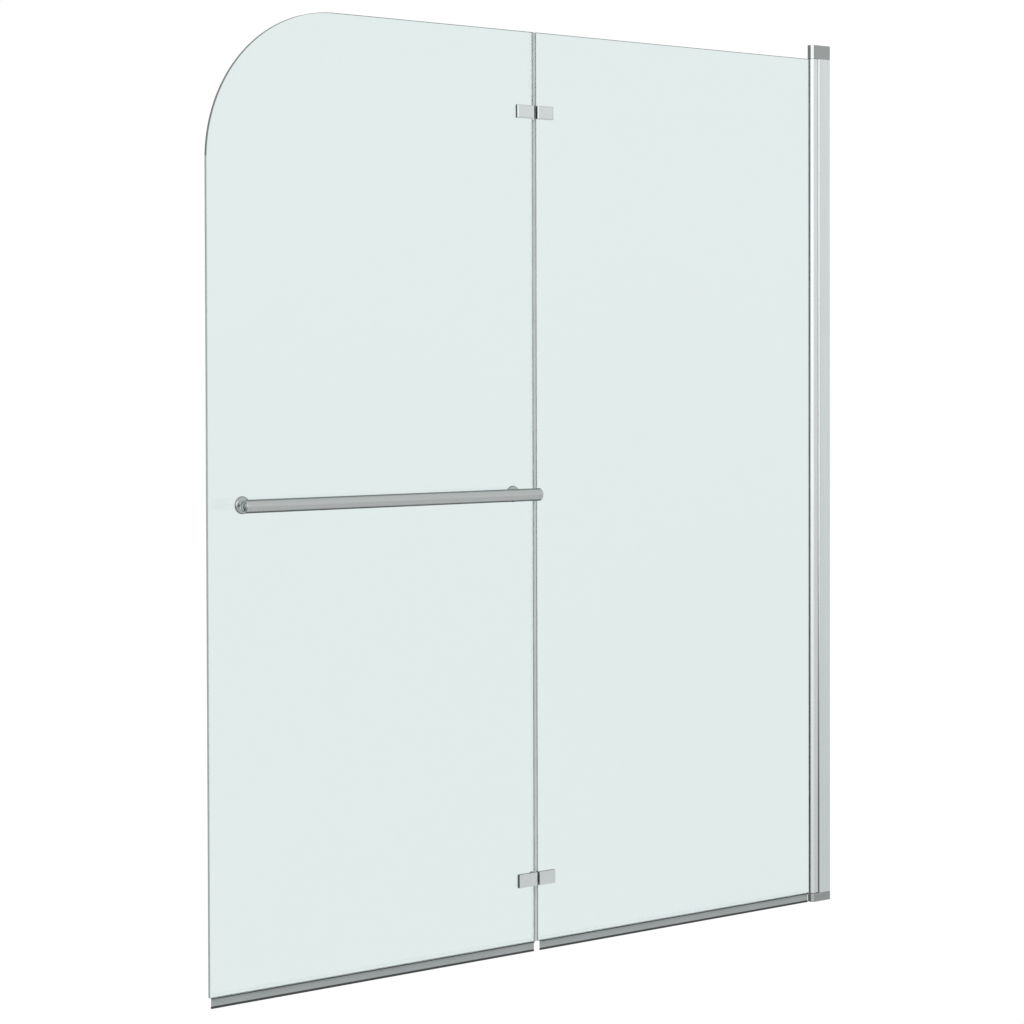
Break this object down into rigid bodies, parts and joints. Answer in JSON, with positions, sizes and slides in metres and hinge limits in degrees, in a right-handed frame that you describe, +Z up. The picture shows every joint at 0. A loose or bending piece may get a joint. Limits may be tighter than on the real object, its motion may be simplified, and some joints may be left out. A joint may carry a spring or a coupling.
{
  "type": "folding bath screen",
  "caption": "Two-leaf glass bath screen that turns on a wall profile and folds at mid width, with a rounded upper corner, seals and a towel bar.",
  "frame": {"origin": "on the wall plane, in the middle of the screen's thickness, at the level of the bath rim that the lower end cap stands on", "axes": "+Z up, +X into the wall (the screen runs towards -X), -Y the room side that carries the towel bar, +Y the bath side"},
  "size_m": [1.2, 0.0646, 1.4],
  "materials": {
    "aluminium": "bright satin anodised extrusion with faint lengthwise lines",
    "end_cap": "silver-grey moulded plastic, slight sheen",
    "polished_metal": "polished plating with faint smudges",
    "glass": "clear toughened glass with a pale green tint at the edges",
    "clear_seal": "translucent soft PVC",
    "dark_gasket": "dark matt rubber",
    "nylon": "natural white nylon",
    "steel": "stainless steel, turned"
  },
  "bodies": {
    "wall_side": {"wall_channel": "aluminium", "adjusting_profile": "aluminium", "adjusting_screws": "steel", "top_end_cap": "end_cap", "bottom_end_cap": "end_cap", "end_cap_screws": "steel", "top_pivot_pin": "steel", "bottom_pivot_pin": "steel", "thrust_washer": "nylon"},
    "inner_panel": {"pivot_column": "aluminium", "top_pivot_bush": "nylon", "bottom_pivot_bush": "nylon", "glazing_gasket": "dark_gasket", "inner_glass": "glass", "inner_bottom_seal": "clear_seal", "upper_hinge_inner_plate": "polished_metal", "upper_hinge_inner_leaf": "polished_metal", "lower_hinge_inner_plate": "polished_metal", "lower_hinge_inner_leaf": "polished_metal", "upper_hinge_pin": "steel", "lower_hinge_pin": "steel", "inner_hinge_gaskets": "dark_gasket", "inner_hinge_screws": "steel", "inner_hinge_sleeves": "nylon"},
    "outer_panel": {"outer_glass": "glass", "outer_bottom_seal": "clear_seal", "fold_seal": "clear_seal", "upper_hinge_outer_plate": "polished_metal", "upper_hinge_outer_leaf": "polished_metal", "lower_hinge_outer_plate": "polished_metal", "lower_hinge_outer_leaf": "polished_metal", "outer_hinge_gaskets": "dark_gasket", "outer_hinge_screws": "steel", "outer_hinge_sleeves": "nylon", "towel_bar_tube": "polished_metal", "towel_bar_left_cap": "polished_metal", "towel_bar_right_cap": "polished_metal", "left_bar_post": "polished_metal", "right_bar_post": "polished_metal", "left_rosette": "polished_metal", "right_rosette": "polished_metal", "left_back_disc": "polished_metal", "right_back_disc": "polished_metal", "bar_washers": "nylon", "bar_sleeves": "nylon", "bar_fixing_screws": "steel"}
  },
  "joints": [
    {"name": "column_pivot", "type": "hinge", "parent": "wall_side", "child": "inner_panel", "pos_m": [-0.0334, 0, 0], "axis": [0, 0, 1], "range_deg": [-90, 88]},
    {"name": "panel_fold", "type": "hinge", "parent": "inner_panel", "child": "outer_panel", "pos_m": [-0.622, 0.009, 0], "axis": [0, 0, -1], "range_deg": [0, 180]}
  ]
}
